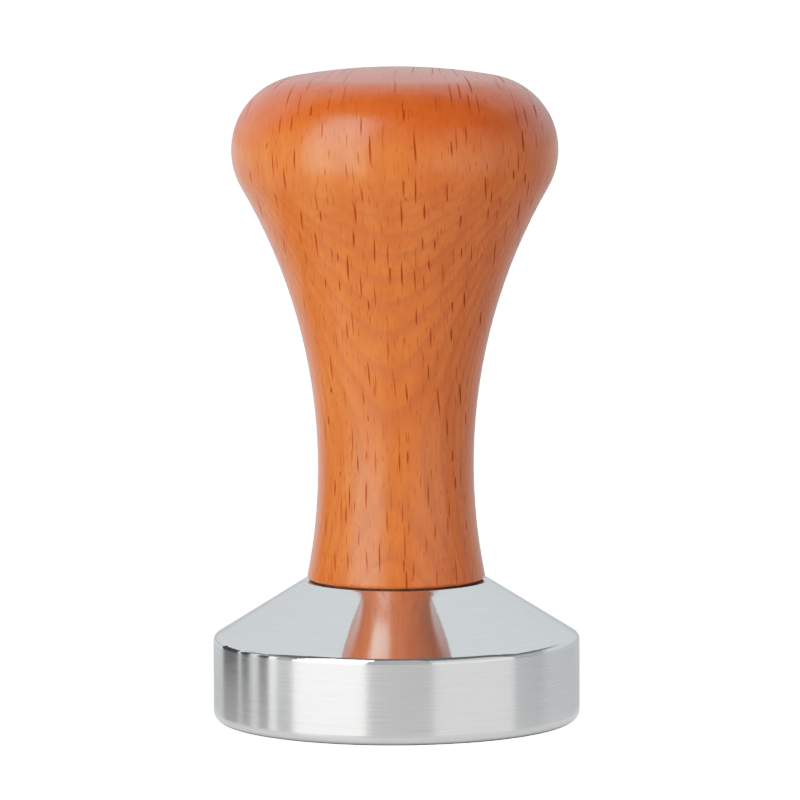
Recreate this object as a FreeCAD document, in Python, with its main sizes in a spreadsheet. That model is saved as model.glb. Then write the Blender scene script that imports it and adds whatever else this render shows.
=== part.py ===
# Espresso tamper: a turned hardwood handle that screws onto a turned steel base.
#
# Frame: millimetres, +Z up along the turning axis. The origin is the centre of the
# flat tamping face, which is also the lowest point of the object.
#
# Five pieces, from the bottom up:
#   base             turned steel, the piston band with its cone, tapped from above
#   stud             headless socket screw, fixed in the base, its top half proud
#   seat_washer      thin fibre washer between the base and the handle's foot
#   threaded_insert  slotted brass bush, screwed into the wood from below
#   handle           turned hardwood, waisted neck and domed knob
#
# Each piece is modelled in a frame of its own, with its lowest point at z = 0, and its
# Placement lifts it to its seat. All threads are right-handed helices that start in the
# same half plane (+X), so a thread's phase is set by its height alone.

import FreeCAD, Part
import math
import os
import Sketcher

SHEET_NAME = "Sizes"

SIZES = (
    # base
    ("base_dia", 51.0),
    ("base_height", 19.65),
    ("shoulder_height", 11.8),
    ("cone_top_dia", 25.8),
    ("face_round", 1.5),
    ("shoulder_round", 0.95),
    # handle outline
    ("overall_height", 90.9),
    ("knob_dia", 45.3),
    ("knob_height", 79.5),
    ("knob_round", 10.3),
    ("waist_dia", 21.7),
    ("waist_height", 35.6),
    ("foot_round", 0.45),
    # machine thread, M8 x 1.25
    ("machine_major_dia", 8.0),
    ("machine_pitch_dia", 7.188),
    ("machine_minor_dia", 6.647),
    ("machine_root_dia", 6.4),
    ("machine_lead", 1.25),
    ("machine_play", 0.08),
    ("machine_mouth", 0.55),
    # stud
    ("stud_length", 25.0),
    ("stud_depth", 13.0),
    ("stud_bevel", 0.9),
    ("socket_width", 4.0),
    ("socket_depth", 5.0),
    # tapped hole in the base
    ("drill_depth", 14.2),
    # washer
    ("washer_thickness", 0.2),
    ("washer_outer_dia", 23.6),
    ("washer_inner_dia", 9.0),
    # insert and its bore in the wood
    ("insert_length", 13.0),
    ("insert_core_dia", 10.4),
    ("insert_thread_dia", 12.6),
    ("insert_lead", 2.5),
    ("insert_thread_start", 1.3),
    ("insert_thread_turns", 4.0),
    ("insert_root_width", 1.5),
    ("insert_crest_width", 0.3),
    ("insert_play", 0.1),
    ("slot_width", 1.6),
    ("slot_depth", 1.8),
    ("bore_depth", 15.0),
    ("bore_bevel", 0.6),
)

# angles in degrees
DRILL_POINT_ANGLE = 118.0
FLANK_ANGLE = 30.0
DRILL_SLOPE = math.tan(math.radians(90 - DRILL_POINT_ANGLE / 2))
FLANK_SLOPE = math.tan(math.radians(FLANK_ANGLE))
SOCKET_SIDES = 6

# how far a cutting outline stands out of the material, so that no two faces coincide
OVERCUT = 0.4
# turns that a cut thread runs on past each end of its piece
RUN_OUT = 1
# turns between a machine thread's grooves and its ridges
RIDGE_PHASE = 0.5
# turns that the wood's groove runs on past the end of the insert's ridge
GROOVE_RUN_OUT = 0.1
# numbers closer than this count as equal
SAME = 1e-4

# the sketcher's own numbers for an edge's points, for the origin and for the two axes
START, END, CENTRE = 1, 2, 3
ORIGIN = (-1, 1)
X_AXIS, Z_AXIS = -1, -2


class Size:
    """A number together with the sheet expression that gives it."""

    def __init__(self, text, value):
        self.text = text
        self.value = value

    def join(self, sign, other, value):
        return Size(f"({self.text} {sign} {other.text})", value)

    def __add__(self, other):
        other = as_size(other)
        return self.join("+", other, self.value + other.value)

    def __sub__(self, other):
        other = as_size(other)
        return self.join("-", other, self.value - other.value)

    def __mul__(self, other):
        other = as_size(other)
        return self.join("*", other, self.value * other.value)

    def __truediv__(self, other):
        other = as_size(other)
        return self.join("/", other, self.value / other.value)


def as_size(number):
    """Any plain number as a Size."""
    if isinstance(number, Size):
        return number
    return Size(f"{number:.6f}", float(number))


ZERO = as_size(0.0)


def make_sheet(doc):
    """The spreadsheet of driving dimensions: names in column A, numbers in column B."""
    sheet = doc.addObject("Spreadsheet::Sheet", SHEET_NAME)
    for row, (alias, number) in enumerate(SIZES, start=1):
        sheet.set(f"A{row}", alias)
        sheet.set(f"B{row}", str(number))
        sheet.setAlias(f"B{row}", alias)
    doc.recompute()
    return sheet


def size(alias):
    """The Size that a cell of the sheet holds."""
    sheet = FreeCAD.ActiveDocument.getObject(SHEET_NAME)
    return Size(f"{SHEET_NAME}.{alias}", float(sheet.get(alias)))


def half(alias):
    """Half of a cell, for a radius."""
    return size(alias) / 2


def bind(thing, path, amount):
    """Bind one property of an object to the sheet."""
    thing.setExpression(path, as_size(amount).text)


# ---------------------------------------------------------------- bodies and sketches

def make_body(doc, name, height):
    """A PartDesign body whose local z = 0 is seated at the given height."""
    body = doc.addObject("PartDesign::Body", name)
    body.Label = name
    body.Placement = FreeCAD.Placement(FreeCAD.Vector(0, 0, as_size(height).value), FreeCAD.Rotation())
    bind(body, "Placement.Base.z", height)
    return body


def origin_feature(body, role):
    """One of a body's own origin planes or axes."""
    return next(item for item in body.Origin.OriginFeatures if item.Role == role)


def make_sketch(body, name, role="XZ_Plane"):
    """An empty sketch on one of the body's origin planes."""
    sketch = body.newObject("Sketcher::SketchObject", name)
    sketch.AttachmentSupport = (origin_feature(body, role), [""])
    sketch.MapMode = "FlatFace"
    return sketch


def constrain(sketch, kind, *where):
    """Add one geometric constraint."""
    return sketch.addConstraint(Sketcher.Constraint(kind, *where))


def measure(sketch, kind, where, amount):
    """Add one dimension, bound to the sheet."""
    index = sketch.addConstraint(Sketcher.Constraint(kind, *where, amount.value))
    bind(sketch, f"Constraints[{index}]", amount)


def hold(sketch, edge, end, across, along):
    """Hold one point of a sketch edge at (across, along), measured from the origin."""
    for kind, axis, amount in (("DistanceX", Z_AXIS, across), ("DistanceY", X_AXIS, along)):
        if abs(amount.value) < SAME:
            constrain(sketch, "PointOnObject", edge, end, axis)
        else:
            measure(sketch, kind, (*ORIGIN, edge, end), amount)


def polygon(sketch, corners):
    """A closed outline of straight edges, every corner held by two dimensions."""
    corners = [(as_size(across), as_size(along)) for across, along in corners]
    points = [FreeCAD.Vector(across.value, along.value, 0) for across, along in corners]
    edges = []
    for number, point in enumerate(points):
        edge = Part.LineSegment(point, points[(number + 1) % len(points)])
        edges.append(sketch.addGeometry(edge, False))
    for number, edge in enumerate(edges):
        constrain(sketch, "Coincident", edge, END, edges[(number + 1) % len(edges)], START)
        hold(sketch, edge, START, *corners[number])


# ---------------------------------------------------------------- features

def turn(body, sketch, name):
    """Add the solid that a half outline sweeps about the z axis."""
    feature = body.newObject("PartDesign::Revolution", name)
    feature.Profile = sketch
    feature.ReferenceAxis = (sketch, ["V_Axis"])
    feature.Angle = 360
    return finish_feature(body, feature, grows=True)


def bore(body, sketch, name):
    """Cut the solid that a half outline sweeps about the z axis."""
    feature = body.newObject("PartDesign::Groove", name)
    feature.Profile = sketch
    feature.ReferenceAxis = (sketch, ["V_Axis"])
    feature.Angle = 360
    return finish_feature(body, feature, grows=False)


def pocket(body, sketch, name, depth, upward):
    """Cut a sketch straight into the body, along +z or along -z."""
    feature = body.newObject("PartDesign::Pocket", name)
    feature.Profile = sketch
    feature.Reversed = upward
    feature.Length = depth.value
    bind(feature, "Length", depth)
    return finish_feature(body, feature, grows=False)


def thread(body, sketch, name, lead, climb, grows=False):
    """Wind a thread's section up the z axis, as a ridge if it grows, else as a groove."""
    kind = "AdditiveHelix" if grows else "SubtractiveHelix"
    feature = body.newObject(f"PartDesign::{kind}", name)
    feature.Profile = sketch
    feature.ReferenceAxis = (origin_feature(body, "Z_Axis"), [""])
    feature.Mode = "pitch-height-angle"
    feature.Pitch = lead.value
    feature.Height = climb.value
    feature.Angle = 0
    feature.LeftHanded = False
    feature.Reversed = False
    bind(feature, "Pitch", lead)
    bind(feature, "Height", climb)
    return finish_feature(body, feature, grows)


def round_edge(body, name, radius, edge_radius, edge_height):
    """Fillet the circular edge of the given radius at the given height."""
    solid = body.Tip
    edge = ring_edge(solid.Shape, edge_radius.value, edge_height.value)
    feature = body.newObject("PartDesign::Fillet", name)
    feature.Base = (solid, [edge])
    feature.Radius = radius.value
    bind(feature, "Radius", radius)
    return finish_feature(body, feature, grows=False)


def ring_edge(shape, radius, height):
    """The name of a shape's circular edge about the z axis."""
    for number, edge in enumerate(shape.Edges, start=1):
        curve = edge.Curve
        if not isinstance(curve, Part.Circle):
            continue
        if abs(curve.Radius - radius) < SAME and abs(edge.CenterOfMass.z - height) < SAME:
            return f"Edge{number}"
    raise ValueError(f"no circular edge of radius {radius} at height {height}")


def finish_feature(body, feature, grows):
    """Make a feature the body's tip, and make sure that it changed the solid as it should."""
    before = feature.BaseFeature.Shape.Volume if feature.BaseFeature else 0.0
    body.Tip = feature
    body.Document.recompute()
    change = feature.Shape.Volume - before
    if abs(change) < SAME or (change > 0) != grows:
        raise ValueError(f"{body.Label}: {feature.Name} changed the volume by {change:.4f}")
    return feature


# ---------------------------------------------------------------- threads

def groove_section(body, name, inner, outer, inner_width, outer_width, height):
    """The section of a groove or a ridge: a trapezium centred at the given height."""
    sketch = make_sketch(body, name)
    polygon(sketch, (
        (inner, height - inner_width / 2),
        (outer, height - outer_width / 2),
        (outer, height + outer_width / 2),
        (inner, height + inner_width / 2),
    ))
    return sketch


def machine_space(radius, play):
    """The width between two ridges of the external machine thread at a radius."""
    spread = (radius - half("machine_pitch_dia")) * (2 * FLANK_SLOPE)
    return size("machine_lead") / 2 + spread + play * 2


def cut_external_thread(body, start, climb):
    """Cut the stud's thread, thinned by the play on both flanks."""
    root = half("machine_root_dia")
    outside = half("machine_major_dia") + OVERCUT
    play = size("machine_play")
    section = groove_section(
        body, f"{body.Label}_thread_section", root, outside,
        machine_space(root, play), machine_space(outside, play), start)
    thread(body, section, f"{body.Label}_thread", size("machine_lead"), climb)


def cut_internal_thread(body, start, climb):
    """Cut the space that a full ridge of the machine thread fills."""
    inside = half("machine_minor_dia") - OVERCUT
    crest = half("machine_major_dia")
    lead = size("machine_lead")
    section = groove_section(
        body, f"{body.Label}_thread_section", inside, crest,
        lead - machine_space(inside, ZERO), lead - machine_space(crest, ZERO), start)
    thread(body, section, f"{body.Label}_thread", lead, climb)


# ---------------------------------------------------------------- heights

def stud_seat():
    """The height of the stud's lower end."""
    return size("base_height") - size("stud_depth")


def foot_height():
    """The height of the handle's foot, on top of the washer."""
    return size("base_height") + size("washer_thickness")


# ---------------------------------------------------------------- the five pieces

def make_base(doc):
    """The piston: flat face, straight band, cone and flat top, with a blind tapped hole."""
    body = make_body(doc, "base", ZERO)
    radius = half("base_dia")
    top = size("base_height")
    outline = make_sketch(body, "base_outline")
    polygon(outline, (
        (0, 0),
        (radius, 0),
        (radius, size("shoulder_height")),
        (half("cone_top_dia"), top),
        (0, top),
    ))
    turn(body, outline, "base_turned")
    round_edge(body, "base_face_round", size("face_round"), radius, ZERO)
    round_edge(body, "base_shoulder_round", size("shoulder_round"), radius, size("shoulder_height"))

    drill = half("machine_minor_dia")
    mouth = half("machine_major_dia") + size("machine_mouth")
    floor = top - size("drill_depth")
    hole = make_sketch(body, "base_hole_outline")
    polygon(hole, (
        (0, floor - drill * DRILL_SLOPE),
        (drill, floor),
        (drill, top - (mouth - drill)),
        (mouth, top),
        (mouth, top + OVERCUT),
        (0, top + OVERCUT),
    ))
    bore(body, hole, "base_hole")

    lead = size("machine_lead")
    cut_internal_thread(body, stud_seat() - lead * RIDGE_PHASE, size("stud_depth") + lead)
    return body


def make_stud(doc):
    """A headless M8 screw with bevelled ends and a hexagon socket in its upper end."""
    body = make_body(doc, "stud", stud_seat())
    radius = half("machine_major_dia") - size("machine_play")
    length = size("stud_length")
    bevel = size("stud_bevel")
    outline = make_sketch(body, "stud_outline")
    polygon(outline, (
        (0, 0),
        (radius - bevel, 0),
        (radius, bevel),
        (radius, length - bevel),
        (radius - bevel, length),
        (0, length),
    ))
    turn(body, outline, "stud_turned")

    step = math.radians(360 / SOCKET_SIDES)
    corner_radius = half("socket_width") / math.cos(step / 2)
    socket = make_sketch(body, "stud_socket_outline", "XY_Plane")
    socket.AttachmentOffset = FreeCAD.Placement(FreeCAD.Vector(0, 0, length.value), FreeCAD.Rotation())
    bind(socket, "AttachmentOffset.Base.z", length)
    angles = [step * (number + 1 / 2) for number in range(SOCKET_SIDES)]
    polygon(socket, [(corner_radius * math.cos(angle), corner_radius * math.sin(angle)) for angle in angles])
    pocket(body, socket, "stud_socket", size("socket_depth"), upward=False)

    lead = size("machine_lead")
    cut_external_thread(body, ZERO - lead * RUN_OUT, length + lead * (2 * RUN_OUT))
    return body


def make_seat_washer(doc):
    """A flat fibre ring."""
    body = make_body(doc, "seat_washer", size("base_height"))
    inner = half("washer_inner_dia")
    outer = half("washer_outer_dia")
    outline = make_sketch(body, "washer_outline")
    polygon(outline, (
        (inner, 0),
        (outer, 0),
        (outer, size("washer_thickness")),
        (inner, size("washer_thickness")),
    ))
    turn(body, outline, "washer_ring")
    return body


def make_threaded_insert(doc):
    """A brass bush: machine thread inside, coarse wood thread outside, slot across its foot."""
    body = make_body(doc, "threaded_insert", foot_height())
    core = half("insert_core_dia")
    drill = half("machine_minor_dia")
    mouth = half("machine_major_dia")
    length = size("insert_length")
    flare = mouth - drill
    outline = make_sketch(body, "insert_outline")
    polygon(outline, (
        (mouth, 0),
        (core, 0),
        (core, length),
        (mouth, length),
        (drill, length - flare),
        (drill, flare),
    ))
    turn(body, outline, "insert_turned")

    lead = size("insert_lead")
    section = groove_section(
        body, "insert_ridge_section", core - OVERCUT, half("insert_thread_dia"),
        size("insert_root_width"), size("insert_crest_width"), size("insert_thread_start"))
    thread(body, section, "insert_ridge", lead, lead * size("insert_thread_turns"), grows=True)

    # the turns are counted from the stud's lower end, so that both threads are in phase
    lead = size("machine_lead")
    turns_below = math.floor(((foot_height() - stud_seat()) / lead).value)
    first_turn = stud_seat() - foot_height() + lead * (turns_below - RUN_OUT + RIDGE_PHASE)
    cut_internal_thread(body, first_turn, length + lead * (2 * RUN_OUT + 1))

    reach = half("insert_thread_dia") + OVERCUT
    side = half("slot_width")
    slot = make_sketch(body, "insert_slot_outline", "XY_Plane")
    polygon(slot, (
        (ZERO - reach, ZERO - side),
        (reach, ZERO - side),
        (reach, side),
        (ZERO - reach, side),
    ))
    pocket(body, slot, "insert_slot", size("slot_depth"), upward=True)
    return body


def draw_handle_outline(body):
    """The turned outline: neck, knob and dome are three arcs, each tangent to the next.

    The neck arc is narrowest at the waist, the knob arc reaches the knob's width at its
    own centre height, and the dome arc has its centre on the axis. The neck's and the
    dome's radii follow from the tangencies.
    """
    foot = foot_height()
    waist_radius = half("waist_dia").value
    waist_height = (size("waist_height") - foot).value
    knob = size("knob_round")
    knob_across = half("knob_dia") - knob
    knob_along = size("knob_height") - foot
    top = size("overall_height") - foot

    # where the unknown centres lie, so that the solver starts on the right side
    gap = waist_radius - knob_across.value
    rise = waist_height - knob_along.value
    reach = knob.value
    neck_radius = (gap ** 2 + rise ** 2 - reach ** 2) / (2 * (reach - gap))
    neck_centre = FreeCAD.Vector(waist_radius + neck_radius, waist_height, 0)
    knob_centre = FreeCAD.Vector(knob_across.value, knob_along.value, 0)
    crown = top.value - knob_along.value
    dome_radius = (knob_across.value ** 2 + crown ** 2 - reach ** 2) / (2 * (crown - reach))
    dome_centre = FreeCAD.Vector(0, top.value - dome_radius, 0)
    neck_end = neck_centre + (knob_centre - neck_centre) * (neck_radius / (neck_radius + reach))
    dome_start = dome_centre + (knob_centre - dome_centre).normalize() * dome_radius
    foot_radius = neck_centre.x - math.sqrt(neck_radius ** 2 - waist_height ** 2)
    corners = {
        "axis_foot": FreeCAD.Vector(0, 0, 0),
        "foot_edge": FreeCAD.Vector(foot_radius, 0, 0),
        "axis_top": FreeCAD.Vector(0, top.value, 0),
    }

    sketch = make_sketch(body, "handle_outline")
    axis = sketch.addGeometry(Part.LineSegment(corners["axis_top"], corners["axis_foot"]), False)
    face = sketch.addGeometry(Part.LineSegment(corners["axis_foot"], corners["foot_edge"]), False)
    neck = add_arc(sketch, neck_centre, neck_radius, neck_end, corners["foot_edge"])
    bulge = add_arc(sketch, knob_centre, reach, neck_end, dome_start)
    dome = add_arc(sketch, dome_centre, dome_radius, dome_start, corners["axis_top"])
    waist = sketch.addGeometry(Part.Point(FreeCAD.Vector(waist_radius, waist_height, 0)), True)

    hold(sketch, axis, END, ZERO, ZERO)
    constrain(sketch, "PointOnObject", face, END, X_AXIS)
    constrain(sketch, "Coincident", axis, END, face, START)
    constrain(sketch, "Coincident", face, END, neck, END)
    constrain(sketch, "Tangent", neck, START, bulge, START)
    constrain(sketch, "Tangent", bulge, END, dome, START)
    constrain(sketch, "Coincident", dome, END, axis, START)
    constrain(sketch, "PointOnObject", dome, CENTRE, Z_AXIS)
    hold(sketch, dome, END, ZERO, top)
    hold(sketch, bulge, CENTRE, knob_across, knob_along)
    measure(sketch, "Radius", (bulge,), knob)
    constrain(sketch, "PointOnObject", waist, START, neck)
    hold(sketch, waist, START, half("waist_dia"), size("waist_height") - foot)
    constrain(sketch, "Horizontal", waist, START, neck, CENTRE)
    return sketch, foot_radius


def add_arc(sketch, centre, radius, start, end):
    """An arc that runs counter-clockwise from start to end."""
    ring = Part.Circle(centre, FreeCAD.Vector(0, 0, 1), radius)
    arc = Part.ArcOfCircle(ring, bearing(start - centre), bearing(end - centre))
    return sketch.addGeometry(arc, False)


def bearing(offset):
    """The direction of an offset in the sketch plane, in radians."""
    return math.atan2(offset.y, offset.x)


def make_handle(doc):
    """The turned wood handle, with its foot edge eased and a threaded bore from below."""
    body = make_body(doc, "handle", foot_height())
    outline, foot_radius = draw_handle_outline(body)
    turn(body, outline, "handle_turned")
    round_edge(body, "handle_foot_round", size("foot_round"), as_size(foot_radius), ZERO)

    play = size("insert_play")
    core = half("insert_core_dia") + play
    depth = size("bore_depth")
    bevel = size("bore_bevel")
    hole = make_sketch(body, "handle_bore_outline")
    polygon(hole, (
        (0, ZERO - OVERCUT),
        (core + bevel, ZERO - OVERCUT),
        (core + bevel, 0),
        (core, bevel),
        (core, depth),
        (0, depth + core * DRILL_SLOPE),
    ))
    bore(body, hole, "handle_bore")

    lead = size("insert_lead")
    section = groove_section(
        body, "handle_groove_section", core - OVERCUT, half("insert_thread_dia") + play,
        size("insert_root_width") + play * 2, size("insert_crest_width") + play * 2,
        size("insert_thread_start") - lead * RUN_OUT)
    turns = size("insert_thread_turns") + RUN_OUT + GROOVE_RUN_OUT
    thread(body, section, "handle_groove", lead, lead * turns)
    return body


# ---------------------------------------------------------------- checking and writing

def check(doc, bodies):
    """Stop unless every object is sound and every piece is one valid solid."""
    for item in doc.Objects:
        if "Invalid" in item.State or "Error" in item.State:
            raise ValueError(f"{item.Name} failed: {item.State}")
    for body in bodies:
        shape = body.Shape
        if shape.isNull() or not shape.isValid() or len(shape.Solids) != 1:
            raise ValueError(f"{body.Label} is not one valid solid")


def write(bodies):
    """Write each piece to parts/, in a file named after its label."""
    os.makedirs("parts", exist_ok=True)
    for body in bodies:
        body.Shape.exportStep(os.path.join("parts", f"{body.Label}.step"))
        box = body.Shape.optimalBoundingBox(True, False)
        print(f"{body.Label}: {body.Shape.Volume:.1f} mm3, z {box.ZMin:.3f} to {box.ZMax:.3f},"
              f" across {box.XLength:.3f}")


def main():
    doc = FreeCAD.newDocument("espresso_tamper")
    make_sheet(doc)
    makers = (make_base, make_stud, make_seat_washer, make_threaded_insert, make_handle)
    bodies = [make(doc) for make in makers]
    doc.recompute()
    check(doc, bodies)
    write(bodies)


main()
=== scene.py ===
"""Espresso tamper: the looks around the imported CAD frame.

Every length is in metres, in the frame of the CAD part: +Z up along the turning axis, the
origin in the middle of the flat tamping face. The camera looks along +Y. Inside the
materials of the tamper, places on a piece are in millimetres.
"""
import math

import bpy
from mathutils import Matrix, Vector

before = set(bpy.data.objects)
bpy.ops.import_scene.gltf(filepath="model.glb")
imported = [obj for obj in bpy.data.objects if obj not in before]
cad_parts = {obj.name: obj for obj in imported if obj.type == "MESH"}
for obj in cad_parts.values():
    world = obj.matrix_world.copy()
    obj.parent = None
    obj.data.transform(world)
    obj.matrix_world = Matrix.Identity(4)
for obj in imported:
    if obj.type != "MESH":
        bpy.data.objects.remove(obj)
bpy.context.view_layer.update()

MM = 0.001

# ---------------------------------------------------------------- camera

CAMERA_DISTANCE = 1.0
CAMERA_HEIGHT = 0.1525
CAMERA_AIM = Vector((0.0006, 0, 0.0447))
CAMERA_ROLL = math.radians(-0.2)
CAMERA_REACH = 30
SENSOR_WIDTH = 36.0
FOCAL_LENGTH = 326.4


def make_camera():
    """A long lens from the front, a little above the knob."""
    data = bpy.data.cameras.new("camera")
    data.sensor_width = SENSOR_WIDTH
    data.lens = FOCAL_LENGTH
    data.clip_end = CAMERA_REACH
    camera = bpy.data.objects.new("camera", data)
    bpy.context.scene.collection.objects.link(camera)
    camera.location = (0, -CAMERA_DISTANCE, CAMERA_HEIGHT)
    towards = CAMERA_AIM - camera.location
    turn = towards.to_track_quat("-Z", "Y").to_matrix()
    roll = Matrix.Rotation(CAMERA_ROLL, 3, "Z")
    camera.rotation_euler = (turn @ roll).to_euler()
    bpy.context.scene.camera = camera


# ---------------------------------------------------------------- node graphs

class Graph:
    """A small helper to write a shader's nodes as expressions."""

    def __init__(self, tree):
        self.tree = tree
        tree.nodes.clear()

    def node(self, kind, inputs=None, **settings):
        """Add a node. Inputs are values or other nodes' outputs, by socket name or number."""
        made = self.tree.nodes.new(kind)
        for name, value in settings.items():
            setattr(made, name, value)
        for key, value in (inputs or {}).items():
            self.feed(made.inputs[key], value)
        return made

    def feed(self, socket, value):
        """Set a socket, or link it if the value is an output."""
        if isinstance(value, bpy.types.NodeSocket):
            self.tree.links.new(value, socket)
        else:
            socket.default_value = value

    def math(self, operation, *values):
        """A Math node's result."""
        return self.node("ShaderNodeMath", dict(enumerate(values)), operation=operation).outputs[0]

    def add(self, first, second):
        """The sum of two numbers."""
        return self.math("ADD", first, second)

    def times(self, first, second):
        """The product of two numbers."""
        return self.math("MULTIPLY", first, second)

    def length(self, x, y):
        """The length of a vector with these two parts."""
        return self.math("SQRT", self.add(self.times(x, x), self.times(y, y)))

    def vector(self, x, y, z):
        """Three numbers as a vector."""
        return self.node("ShaderNodeCombineXYZ", {0: x, 1: y, 2: z}).outputs[0]

    def split(self, vector):
        """A vector's three numbers."""
        return self.node("ShaderNodeSeparateXYZ", {0: vector}).outputs

    def noise(self, vector, scale, detail=2.0, roughness=0.5, distortion=0.0):
        """Noise between 0 and 1."""
        made = self.node("ShaderNodeTexNoise", {
            "Vector": vector, "Scale": scale, "Detail": detail, "Roughness": roughness,
            "Distortion": distortion})
        return made.outputs["Fac"]

    def remap(self, value, low, high, to_low=0.0, to_high=1.0, kind="SMOOTHSTEP"):
        """A value moved from one range to another, and clamped there."""
        made = self.node("ShaderNodeMapRange", {
            "Value": value, "From Min": low, "From Max": high,
            "To Min": to_low, "To Max": to_high}, interpolation_type=kind)
        return made.outputs["Result"]

    def blend(self, amount, first, second):
        """Two colours mixed."""
        made = self.node("ShaderNodeMix", data_type="RGBA")
        self.feed(made.inputs["Factor"], amount)
        self.feed(made.inputs[6], first)
        self.feed(made.inputs[7], second)
        return made.outputs[2]

    def bump(self, height, depth_mm):
        """A normal from a height between 0 and 1, that many millimetres deep."""
        made = self.node("ShaderNodeBump", {
            "Height": height, "Distance": depth_mm * MM, "Strength": 1.0})
        return made.outputs["Normal"]

    def coordinates(self, kind):
        """One output of the Texture Coordinate node."""
        return self.node("ShaderNodeTexCoord").outputs[kind]

    def position_mm(self):
        """The point's own place on its piece, in millimetres."""
        made = self.node("ShaderNodeVectorMath", {
            0: self.coordinates("Object"), "Scale": 1 / MM}, operation="SCALE")
        return made.outputs[0]

    def turning(self, here):
        """A point's radius and height, and its angle round the axis."""
        x, y, z = self.split(here)
        return self.length(x, y), z, self.math("ARCTAN2", y, x)

    def close(self, shader, kind="ShaderNodeOutputMaterial"):
        """End the graph with a material's or a world's output."""
        self.node(kind, {"Surface": shader.outputs[0]})

    def close_principled(self, sockets):
        """End the graph with a Principled shader."""
        self.close(self.node("ShaderNodeBsdfPrincipled", sockets))

    def close_glow(self, colour, strength):
        """End the graph with plain light."""
        self.close(self.node("ShaderNodeEmission", {"Color": colour, "Strength": strength}))


def new_material(name):
    """A material with an empty graph, and the graph."""
    material = bpy.data.materials.new(name)
    material.use_nodes = True
    return material, Graph(material.node_tree)


def rgb(red, green, blue):
    """A colour as a socket takes it."""
    return (red, green, blue, 1.0)


# ---------------------------------------------------------------- steel

STEEL_DARK = rgb(0.725, 0.73, 0.735)
STEEL_BRIGHT = rgb(0.785, 0.79, 0.79)
STEEL_EDGE_TINT = rgb(0.88, 0.88, 0.88)
# the heights between which the duller band turns into the polished cone
SHOULDER = (10.9, 11.7)
BAND_ROUGHNESS, CONE_ROUGHNESS = 0.22, 0.045
COARSE_LINES, FINE_LINES = 1.7, 5.5
LATHE_DEPTH = 0.012


def turned_steel():
    """Polished stainless steel with fine lathe lines round the axis."""
    material, g = new_material("turned_steel")
    here = g.position_mm()
    radius, z, turn = g.turning(here)
    # lines that run on for a good part of a turn, then fade
    coarse = g.noise(g.vector(radius, z, g.times(turn, 1.2)), COARSE_LINES)
    fine = g.noise(g.vector(radius, z, g.times(turn, 0.7)), FINE_LINES)
    lines = g.add(g.times(coarse, 0.5), g.times(fine, 0.5))
    cloud = g.noise(here, 0.12)
    colour = g.blend(g.remap(fine, 0.3, 0.7, kind="LINEAR"), STEEL_DARK, STEEL_BRIGHT)
    rough = g.remap(z, *SHOULDER, BAND_ROUGHNESS, CONE_ROUGHNESS)
    rough = g.add(rough, g.remap(g.add(cloud, fine), 0.7, 1.3, -0.02, 0.02))
    tangent = g.node("ShaderNodeTangent", direction_type="RADIAL", axis="Z").outputs[0]
    g.close_principled({
        "Base Color": colour, "Metallic": 0.96, "Roughness": rough, "Anisotropic": 0.8,
        "Anisotropic Rotation": 0.25, "Tangent": tangent, "Specular Tint": STEEL_EDGE_TINT,
        "Normal": g.bump(lines, LATHE_DEPTH)})
    return material


# ---------------------------------------------------------------- wood

# the tree's pith runs beside and behind the handle's axis, and leans with height
PITH_ASIDE, PITH_BEHIND, PITH_LEAN = 5.0, 62.0, 0.03
# how far the grain wanders to the side, and the rings in and out
SWAY_ASIDE, SWAY_RINGS = 2.5, 3.0
# angles round the pith are measured as arcs of this radius
ARC_RADIUS = 64.0
RINGS_PER_MM = 0.9
# the heights between which the rings grow faint, and what is left of them
RINGS_FADE, RINGS_LEFT = (66.0, 78.0), 0.4
GRAIN_LEAN = 0.03
RAY = dict(width=1.6, height=4.3, half_width=0.115, half_length=2.1)
FAINT_RAY = dict(width=0.9, height=2.4, half_width=0.08, half_length=1.0)
FAINT_RAY_SHIFT = 37.7
# the foot's face, and the radius and top of the bore behind it
FOOT, BORE_RADIUS, BORE_TOP = (19.87, 19.95), (6.4, 6.6), (50.0, 51.0)
SKIN_DEPTH, GRAIN_DEPTH = 0.03, 0.04

BEECH_RED = rgb(0.69, 0.124, 0.015)
BEECH_GOLD = rgb(0.77, 0.158, 0.025)
BEECH_RING = rgb(0.46, 0.10, 0.024)
BEECH_FIBRE = rgb(0.56, 0.095, 0.009)
# deeper stain of the end grain, and painted shade over the knob's top
BEECH_END_GRAIN_AND_SHADE = rgb(0.53, 0.052, 0.004)
BEECH_FAINT_RAY = rgb(0.40, 0.055, 0.004)
BEECH_RAY = rgb(0.26, 0.026, 0.0015)
RAW_PALE = rgb(0.62, 0.40, 0.22)
RAW_DARK = rgb(0.46, 0.26, 0.13)
RAW_RAY = rgb(0.30, 0.15, 0.07)


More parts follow.
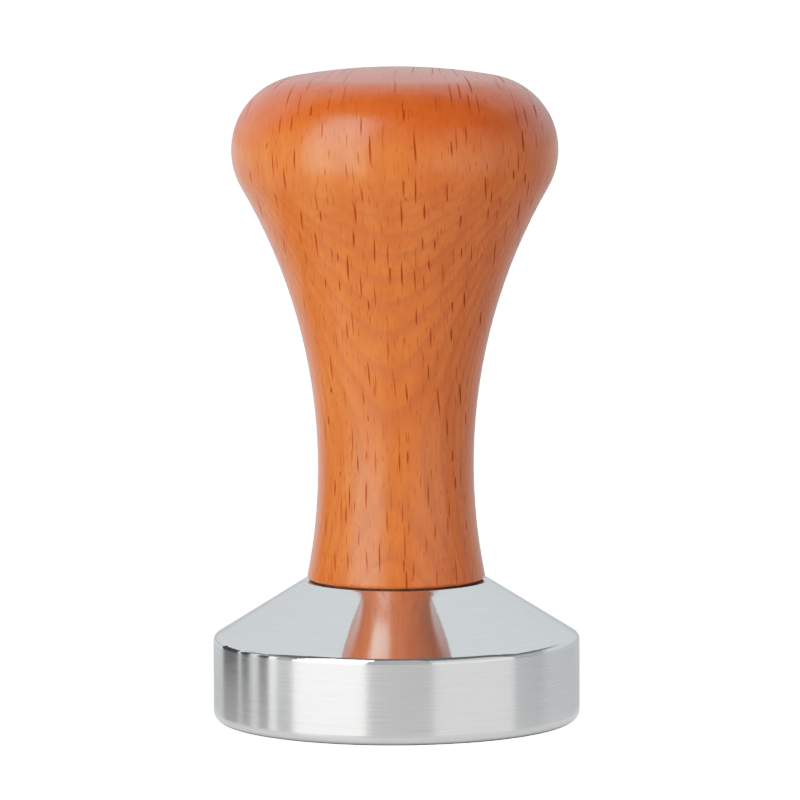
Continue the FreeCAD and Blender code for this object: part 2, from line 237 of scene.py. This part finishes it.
def stained_beech():
    """Beech stained reddish orange under a gloss lacquer, its grain along the axis."""
    material, g = new_material("stained_beech")
    here = g.position_mm()
    x, y, z = g.split(here)
    # distance from the pith, and the way round it
    sway = g.noise(here, 0.035)
    across = g.add(g.math("SUBTRACT", x, PITH_ASIDE), g.times(sway, SWAY_ASIDE))
    away = g.math("SUBTRACT", PITH_BEHIND, g.add(y, g.times(z, PITH_LEAN)))
    ring = g.length(across, away)
    around = g.times(g.math("ARCTAN2", across, away), ARC_RADIUS)
    # growth rings: each darkens slowly, then ends sharply
    band = g.math("FRACT", g.times(g.add(ring, g.times(sway, SWAY_RINGS)), RINGS_PER_MM))
    rings = g.times(g.remap(band, 0.35, 0.88), g.remap(band, 0.86, 1.0, 1.0, 0.0))
    rings = g.times(rings, g.remap(z, *RINGS_FADE, 1.0, RINGS_LEFT))
    # fibres and the slow changes of the stain
    fibre = g.noise(g.vector(around, g.times(z, 0.13), ring), 2.4, 4.0, 0.65)
    streak = g.noise(g.vector(around, g.times(z, 0.2), ring), 0.4)
    grit = g.noise(g.vector(around, g.times(z, 0.3), ring), 8.0)
    # rays, cut end on as short dashes, that fade where the surface turns to lie along them
    facing = g.split(g.coordinates("Normal"))
    crossing = g.remap(g.math("ABSOLUTE", facing[0]), 0.80, 0.96, 1.0, 0.1)
    lean = g.add(around, g.times(z, GRAIN_LEAN))
    rays = g.times(ray_flecks(g, lean, z, ring, **RAY), crossing)
    apart = g.add(lean, FAINT_RAY_SHIFT)
    faint = g.times(ray_flecks(g, apart, z, ring, **FAINT_RAY), crossing)
    colour = g.blend(g.remap(streak, 0.3, 0.7), BEECH_RED, BEECH_GOLD)
    colour = g.blend(g.times(rings, 0.42), colour, BEECH_RING)
    colour = g.blend(g.remap(fibre, 0.42, 0.70, 0.0, 0.42), colour, BEECH_FIBRE)
    # darker where the surface faces up: the end grain on the dome has drunk more stain, and the
    # same darkening paints shade over the top of the knob
    colour = g.blend(g.remap(facing[2], 0.05, 0.55, 0.0, 0.55), colour, BEECH_END_GRAIN_AND_SHADE)
    colour = g.blend(g.times(faint, 0.65), colour, BEECH_FAINT_RAY)
    colour = g.blend(g.times(rays, 0.85), colour, BEECH_RAY)
    # the foot's face and the bore are bare wood, without stain or lacquer
    bore = g.times(g.remap(g.length(x, y), *BORE_RADIUS, 1.0, 0.0),
                   g.remap(z, *BORE_TOP, 1.0, 0.0))
    bare = g.math("MAXIMUM", bore, g.remap(z, *FOOT, 1.0, 0.0))
    raw = g.blend(g.remap(fibre, 0.3, 0.7), RAW_PALE, RAW_DARK)
    raw = g.blend(g.times(rays, 0.6), raw, RAW_RAY)
    # the lacquer lies thinner over the rays, and follows the pores
    coat = g.math("SUBTRACT", 1.0, g.math("MAXIMUM", bare, g.times(rays, 0.8)))
    skin = g.add(g.times(fibre, 0.5), g.times(grit, 0.5))
    g.close_principled({
        "Base Color": g.blend(bare, colour, raw), "Roughness": 0.5,
        "Specular IOR Level": 0.0, "Coat Weight": coat, "Coat Roughness": 0.24,
        "Coat IOR": 1.46, "Coat Normal": g.bump(skin, SKIN_DEPTH),
        "Normal": g.bump(g.add(skin, fibre), GRAIN_DEPTH)})
    return material


def ray_flecks(g, around, along, depth, width, height, half_width, half_length):
    """Short lens-shaped dashes along the grain, scattered one to a cell of width by height.

    Each one's length, thickness and strength come from its cell's own random colour.
    """
    cells = g.vector(g.math("DIVIDE", around, width), g.math("DIVIDE", along, height),
                     g.math("DIVIDE", depth, 9.0))
    voronoi = g.node("ShaderNodeTexVoronoi", {"Vector": cells, "Scale": 1.0, "Randomness": 1.0})
    gap = g.node("ShaderNodeVectorMath", {0: cells, 1: voronoi.outputs["Position"]},
                 operation="SUBTRACT")
    side, up, _ = g.split(gap.outputs[0])
    luck = g.split(voronoi.outputs["Color"])
    reach = g.times(half_length, g.remap(luck[0], 0.0, 1.0, 0.35, 1.25, "LINEAR"))
    thick = g.times(half_width, g.remap(luck[1], 0.0, 1.0, 0.5, 1.3, "LINEAR"))
    side = g.math("DIVIDE", g.math("ABSOLUTE", g.times(side, width)), thick)
    up = g.math("DIVIDE", g.times(up, height), reach)
    inside = g.math("SUBTRACT", 1.0, g.add(side, g.times(up, up)))
    return g.times(g.remap(inside, -0.15, 0.45), g.remap(luck[2], 0.15, 0.75))


# ---------------------------------------------------------------- stud, insert and washer

ZINC_BLUE = rgb(0.56, 0.60, 0.66)
ZINC_YELLOW = rgb(0.66, 0.64, 0.56)
ZINC_GRAIN = rgb(0.40, 0.41, 0.42)
ZINC_GROOVE_DARK = rgb(0.16, 0.15, 0.14)
ZINC_DEPTH = 0.02
# the radii between which the darkening in the thread's grooves fades out
GROOVE = (3.25, 3.7)

BRASS_DARK = rgb(0.74, 0.51, 0.20)
BRASS_BRIGHT = rgb(0.83, 0.62, 0.29)
BRASS_TARNISH = rgb(0.50, 0.30, 0.12)
BRASS_DEPTH = 0.02

FIBRE_DARK = rgb(0.085, 0.022, 0.007)
FIBRE_PALE = rgb(0.14, 0.045, 0.015)
FIBRE_HAIR = rgb(0.20, 0.085, 0.035)
FIBRE_DEPTH = 0.03


def zinc_plate():
    """Bright zinc plating on a steel stud, clouded, and darker down in the thread's grooves."""
    material, g = new_material("zinc_plate")
    here = g.position_mm()
    radius, z, turn = g.turning(here)
    cloud = g.noise(here, 0.35, 3.0, 0.6)
    grain = g.noise(here, 9.0, 3.0, 0.6)
    drawn = g.noise(g.vector(radius, g.times(z, 6.0), turn), 1.6)
    colour = g.blend(g.remap(cloud, 0.35, 0.65), ZINC_BLUE, ZINC_YELLOW)
    colour = g.blend(g.remap(grain, 0.55, 0.8, 0.0, 0.35), colour, ZINC_GRAIN)
    # darker towards the roots of the thread, by radius
    colour = g.blend(g.remap(radius, *GROOVE, 0.65, 0.0), colour, ZINC_GROOVE_DARK)
    rough = g.remap(g.add(grain, g.times(cloud, 0.5)), 0.5, 1.0, 0.24, 0.46)
    height = g.add(g.times(grain, 0.6), g.times(drawn, 0.4))
    g.close_principled({"Base Color": colour, "Metallic": 1.0, "Roughness": rough,
                        "Normal": g.bump(height, ZINC_DEPTH)})
    return material


def machined_brass():
    """Free-cutting brass with lathe lines, tarnished in patches."""
    material, g = new_material("machined_brass")
    here = g.position_mm()
    radius, z, turn = g.turning(here)
    lines = g.noise(g.vector(radius, z, g.times(turn, 0.8)), 7.0, 3.0, 0.6)
    tarnish = g.noise(here, 0.5, 3.0, 0.6)
    colour = g.blend(g.remap(lines, 0.35, 0.65), BRASS_DARK, BRASS_BRIGHT)
    colour = g.blend(g.remap(tarnish, 0.5, 0.75, 0.0, 0.5), colour, BRASS_TARNISH)
    rough = g.remap(g.add(lines, tarnish), 0.7, 1.3, 0.2, 0.42)
    g.close_principled({"Base Color": colour, "Metallic": 1.0, "Roughness": rough,
                        "Normal": g.bump(lines, BRASS_DEPTH)})
    return material


def washer_fibre():
    """Vulcanised fibre: dark, matt and mottled, with short hairs pressed into it."""
    material, g = new_material("washer_fibre")
    here = g.position_mm()
    mottle = g.noise(here, 0.8, 4.0, 0.65)
    hairs = g.noise(here, 5.0, 3.0, 0.7, 1.5)
    colour = g.blend(g.remap(mottle, 0.35, 0.65), FIBRE_DARK, FIBRE_PALE)
    colour = g.blend(g.remap(hairs, 0.5, 0.75, 0.0, 0.5), colour, FIBRE_HAIR)
    g.close_principled({"Base Color": colour, "Roughness": g.remap(hairs, 0.3, 0.7, 0.75, 0.95),
                        "Specular IOR Level": 0.3, "Normal": g.bump(hairs, FIBRE_DEPTH)})
    return material


def dress(node, material):
    """Give a CAD node its material."""
    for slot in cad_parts[node].material_slots:
        slot.material = material


# ---------------------------------------------------------------- studio

WHITE = rgb(1.0, 1.0, 1.0)
WARM_WHITE = rgb(1.0, 0.985, 0.96)
COOL_WHITE = rgb(0.885, 0.955, 1.0)

# the cards' distances from the axis, and their heights
BOX_DISTANCE, FLAG_DISTANCE, STRIP_DISTANCE = 0.22, 0.24, 0.075
KEY_TOP, FILL_TOP, FLAG_TOP, STRIP_TOP = 0.46, 0.26, 0.5, 0.03
# brightness at the foot and at the top, and the shares of the height between which it changes
KEY_LEVELS, FILL_LEVELS, FLAG_LEVELS = (3.5, 5.4), (1.32, 0.75), (0.5, 0.5)
CARD_FADE_FROM, CARD_FADE_TO = 0.1, 0.6
# name, azimuth, spread and brightness of the strips that stand close by on the left
STRIPS = (("left_flag", -111.7, 21, 0.02), ("left_strip", -93.9, 8, 0.03),
          ("left_gap", -85.0, 4, 1.1), ("left_post", -77.5, 8, 0.03), ("left_glow", -71.0, 5, 2.0))

CANOPY_LEFT, CANOPY_RIGHT, CANOPY_FRONT, CANOPY_BACK = -0.45, 0.28, 0.075, 0.65
CANOPY_HEIGHT = 0.30
CANOPY_LEVEL = 1.0

FLOOR_HALF = 6.0
# how far the floor lies under the tamping face, so that the two don't share a plane
FLOOR_GAP = 0.02 * MM
FLOOR_COLOUR = rgb(0.2, 0.2, 0.2)
# brightness to the camera, then as the object reflects it: close by from front to back,
# far off from left to right, and just outside the base
FLOOR_SEEN = 2.4
FLOOR_DEPTH, FLOOR_CLOSE = (-0.045, 0.01), (0.42, 0.27)
FLOOR_WIDTH, FLOOR_FAR = (-0.1, 0.1), (0.55, 0.27)
FLOOR_RIM = 0.62
FLOOR_GLOSS, FLOOR_ROUGHNESS = 0.25, 0.12
# distances from the axis between which the floor passes from close to far, the bright rim
# ends, and the shade under the base ends
CLOSE_TO_FAR, RIM_END, SHADE_END = (0.05, 0.16), (0.027, 0.035), (0.0243, 0.0256)

# brightness of the world from left to right, behind and in front
WORLD_WIDTH, WORLD_BACK, WORLD_FRONT = (-0.9, 0.9), (1.02, 0.96), (0.55, 0.6)
# directions between which it changes, and what is left overhead and under the horizon
BACK_UP, BACK_OVERHEAD = (0.40, 0.60), 0.2
FRONT_UP, FRONT_OVERHEAD = (0.2, 0.7), 0.22
HORIZON, WORLD_LOW = (-0.05, 0.22), 0.6
# where the front gives way to the back, and how much further back for each step up
FRONT_TO_BACK, BACK_RISE = (0.16, 0.33), 0.3

# scene light against the tone that it prints as
TONE_CURVE = ((0.45, 0.45), (0.7, 0.62), (0.95, 0.735), (1.25, 0.83), (1.6, 0.91),
              (2.0, 0.97), (2.4, 1.0))


def flat_face(name, corners):
    """A four-cornered face as an object, with an empty material's graph."""
    mesh = bpy.data.meshes.new(name)
    mesh.from_pydata([tuple(corner) for corner in corners], [], [(0, 1, 2, 3)])
    thing = bpy.data.objects.new(name, mesh)
    bpy.context.scene.collection.objects.link(thing)
    material, g = new_material(name)
    mesh.materials.append(material)
    return thing, g


def make_card(name, azimuth, spread, distance, top, levels, colour=WHITE):
    """An upright glowing card that stands on the table and faces the axis.

    Azimuth 0 is towards the camera, and grows to the right. The spread is the angle that the
    card covers as the axis sees it. Both are in degrees. The camera doesn't see the card.
    """
    angle = math.radians(azimuth)
    half = distance * math.tan(math.radians(spread / 2))
    middle = Vector((math.sin(angle) * distance, -math.cos(angle) * distance, 0))
    side = Vector((math.cos(angle), math.sin(angle), 0)) * half
    lift = Vector((0, 0, top))
    panel, g = flat_face(name, [middle - side, middle + side,
                                middle + side + lift, middle - side + lift])
    height = g.split(g.coordinates("Object"))[2]
    g.close_glow(colour, g.remap(height, CARD_FADE_FROM * top, CARD_FADE_TO * top, *levels))
    panel.visible_camera = False


def make_cards():
    """A large key on the left, a fill on the right, a dim flag between, strips at the left."""
    make_card("key", -41.2, 45.5, BOX_DISTANCE, KEY_TOP, KEY_LEVELS, WARM_WHITE)
    make_card("fill", 48.5, 53, BOX_DISTANCE, FILL_TOP, FILL_LEVELS)
    make_card("front_flag", 2, 38, FLAG_DISTANCE, FLAG_TOP, FLAG_LEVELS)
    for name, azimuth, spread, level in STRIPS:
        make_card(name, azimuth, spread, STRIP_DISTANCE, STRIP_TOP, (level, level))


def make_canopy():
    """A white panel that hangs level above and behind the object, facing down."""
    outline = ((CANOPY_LEFT, CANOPY_BACK), (CANOPY_RIGHT, CANOPY_BACK),
               (CANOPY_RIGHT, CANOPY_FRONT), (CANOPY_LEFT, CANOPY_FRONT))
    canopy, g = flat_face("canopy", [(x, y, CANOPY_HEIGHT) for x, y in outline])
    g.close_glow(COOL_WHITE, CANOPY_LEVEL)
    canopy.visible_camera = False


def make_floor():
    """A pale lit table, plain to the camera, and dimmer where the object reflects it."""
    outline = ((-1, -1), (1, -1), (1, 1), (-1, 1))
    floor, g = flat_face("floor", [(x * FLOOR_HALF, y * FLOOR_HALF, 0) for x, y in outline])
    floor.location.z = -FLOOR_GAP
    plain_face = g.node("ShaderNodeBsdfPrincipled", {
        "Base Color": FLOOR_COLOUR, "Roughness": 1.0, "Specular IOR Level": 0.0,
        "Emission Color": WHITE, "Emission Strength": FLOOR_SEEN})
    x, y, _ = g.split(g.coordinates("Object"))
    reach = g.length(x, y)
    close = g.remap(y, *FLOOR_DEPTH, *FLOOR_CLOSE)
    far = g.remap(x, *FLOOR_WIDTH, *FLOOR_FAR)
    glow = g.remap(reach, *CLOSE_TO_FAR, close, far)
    glow = g.math("MAXIMUM", glow, g.remap(reach, *RIM_END, FLOOR_RIM, 0.0))
    glow = g.times(glow, g.remap(reach, *SHADE_END))
    gloss_face = g.node("ShaderNodeBsdfPrincipled", {
        "Base Color": FLOOR_COLOUR, "Roughness": FLOOR_ROUGHNESS,
        "Specular IOR Level": FLOOR_GLOSS, "Emission Color": WHITE, "Emission Strength": glow})
    seen = g.node("ShaderNodeLightPath").outputs["Is Camera Ray"]
    g.close(g.node("ShaderNodeMixShader", {
        0: seen, 1: gloss_face.outputs[0], 2: plain_face.outputs[0]}))


def make_world():
    """Soft cool white all round: bright behind, dimmer in front, overhead and low down."""
    world = bpy.data.worlds.new("studio")
    bpy.context.scene.world = world
    world.use_nodes = True
    g = Graph(world.node_tree)
    x, y, z = g.split(g.coordinates("Generated"))
    back = g.times(g.remap(x, *WORLD_WIDTH, *WORLD_BACK, "LINEAR"),
                   g.remap(z, *BACK_UP, 1.0, BACK_OVERHEAD))
    front = g.times(g.remap(x, *WORLD_WIDTH, *WORLD_FRONT, "LINEAR"),
                    g.remap(z, *FRONT_UP, 1.0, FRONT_OVERHEAD))
    rise = g.times(g.math("MAXIMUM", z, 0.0), BACK_RISE)
    behind = g.remap(g.math("SUBTRACT", y, rise), *FRONT_TO_BACK)
    level = g.add(g.times(behind, back), g.times(g.math("SUBTRACT", 1.0, behind), front))
    level = g.times(level, g.remap(z, *HORIZON, WORLD_LOW, 1.0))
    g.close(g.node("ShaderNodeBackground", {"Color": COOL_WHITE, "Strength": level}),
            "ShaderNodeOutputWorld")


def make_tone():
    """A print's tones: straight in the darks, and a soft shoulder towards white."""
    view = bpy.context.scene.view_settings
    view.view_transform = "Standard"
    view.use_curve_mapping = True
    mapping = view.curve_mapping
    white = TONE_CURVE[-1][0]
    mapping.white_level = (white, white, white)
    points = mapping.curves[3].points
    points[0].location = (0.0, 0.0)
    points[1].location = (1.0, 1.0)
    for light, tone in TONE_CURVE[:-1]:
        points.new(light / white, tone)
    mapping.update()


make_camera()
dress("base", turned_steel())
dress("handle", stained_beech())
dress("stud", zinc_plate())
dress("threaded_insert", machined_brass())
dress("seat_washer", washer_fibre())
make_floor()
make_world()
make_canopy()
make_cards()
make_tone()
